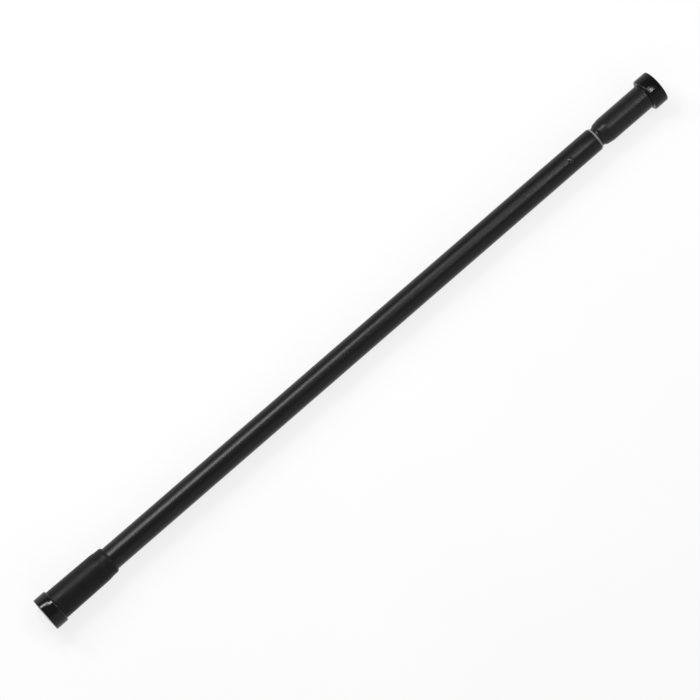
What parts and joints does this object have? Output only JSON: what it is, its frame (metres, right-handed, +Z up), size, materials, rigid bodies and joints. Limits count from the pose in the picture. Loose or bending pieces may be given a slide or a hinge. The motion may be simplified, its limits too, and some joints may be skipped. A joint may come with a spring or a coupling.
{
  "type": "bed cargo bar",
  "caption": "Telescoping twist-lock cargo bar that braces across a truck bed, with rubber grips and round rubber feet.",
  "frame": {"origin": "centre of the fixed foot's pressing face, on the bar's axis", "axes": "+X along the bar towards the sliding foot, +Z up when the bar lies across a truck bed"},
  "size_m": [1.016, 0.0462, 0.0462],
  "materials": {
    "tube_paint": "semi-gloss black powder coat on steel tube",
    "rivet_paint": "black painted steel rivet",
    "grip_rubber": "matte moulded black rubber",
    "foot_rubber": "smooth, glossier moulded black rubber",
    "pale_nylon": "grey nylon",
    "black_nylon": "black glass-filled nylon",
    "zinc_steel": "zinc-plated steel",
    "spring_steel": "oiled spring steel",
    "cast_zinc": "die-cast zinc",
    "ring_rubber": "black nitrile rubber"
  },
  "bodies": {
    "outer_assembly": {"outer_tube": "tube_paint", "fixed_grip": "grip_rubber", "fixed_foot": "foot_rubber", "fixed_end_disc": "zinc_steel", "guide_bush": "pale_nylon", "bush_rivet_top": "rivet_paint", "bush_rivet_bottom": "rivet_paint"},
    "guide_ring": {"guide_ring": "pale_nylon"},
    "inner_assembly": {"inner_tube": "tube_paint", "inner_end_plug": "black_nylon", "plug_pins": "zinc_steel", "push_spring": "spring_steel", "spring_stop": "black_nylon", "spring_stop_pin": "zinc_steel", "sliding_grip": "grip_rubber", "sliding_foot": "foot_rubber", "sliding_end_disc": "zinc_steel"},
    "rod_assembly": {"lock_rod": "zinc_steel", "rod_end_nut": "zinc_steel", "thrust_washer": "zinc_steel", "spring_seat": "zinc_steel", "rod_circlip": "spring_steel"},
    "cage_assembly": {"jaw_cage": "pale_nylon", "jaw_ring": "ring_rubber", "drag_ring": "ring_rubber"},
    "wedge_nut": {"wedge_nut": "cast_zinc"},
    "jaw_1": {"jaw_1": "black_nylon"},
    "jaw_2": {"jaw_2": "black_nylon"},
    "jaw_3": {"jaw_3": "black_nylon"},
    "jaw_4": {"jaw_4": "black_nylon"}
  },
  "joints": [
    {"name": "bar_extend", "type": "slide", "parent": "outer_assembly", "child": "guide_ring", "axis": [1, 0, 0], "range_m": [0, 0.762]},
    {"name": "bar_twist", "type": "hinge", "parent": "guide_ring", "child": "inner_assembly", "pos_m": [0.092, 0, 0], "axis": [1, 0, 0], "range_deg": [0, 180]},
    {"name": "spring_travel", "type": "slide", "parent": "inner_assembly", "child": "rod_assembly", "axis": [1, 0, 0], "range_m": [0, 0.0254], "stiffness_N_per_m": 5050, "springref_m": -0.01, "deforming": ["push_spring"]},
    {"name": "cage_counter_turn", "type": "hinge", "parent": "rod_assembly", "child": "cage_assembly", "pos_m": [0.039, 0, 0], "axis": [1, 0, 0], "range_deg": [-180, 0]},
    {"name": "wedge_advance", "type": "slide", "parent": "cage_assembly", "child": "wedge_nut", "axis": [-1, 0, 0], "range_m": [0, 0.0015]},
    {"name": "jaw_1_spread", "type": "slide", "parent": "cage_assembly", "child": "jaw_1", "axis": [0, 0, 1], "range_m": [0, 0.0004875], "deforming": ["jaw_ring"]},
    {"name": "jaw_2_spread", "type": "slide", "parent": "cage_assembly", "child": "jaw_2", "axis": [0, -1, 0], "range_m": [0, 0.0004875]},
    {"name": "jaw_3_spread", "type": "slide", "parent": "cage_assembly", "child": "jaw_3", "axis": [0, 0, -1], "range_m": [0, 0.0004875]},
    {"name": "jaw_4_spread", "type": "slide", "parent": "cage_assembly", "child": "jaw_4", "axis": [0, 1, 0], "range_m": [0, 0.0004875]}
  ],
  "couplings": [
    {"joint": "cage_counter_turn", "follows": "bar_twist", "ratio": -1},
    {"joint": "wedge_advance", "follows": "bar_twist", "m_per_rad": 0.00047746},
    {"joint": "jaw_1_spread", "follows": "bar_twist", "m_per_rad": 0.00015514},
    {"joint": "jaw_2_spread", "follows": "bar_twist", "m_per_rad": 0.00015514},
    {"joint": "jaw_3_spread", "follows": "bar_twist", "m_per_rad": 0.00015514},
    {"joint": "jaw_4_spread", "follows": "bar_twist", "m_per_rad": 0.00015514}
  ]
}
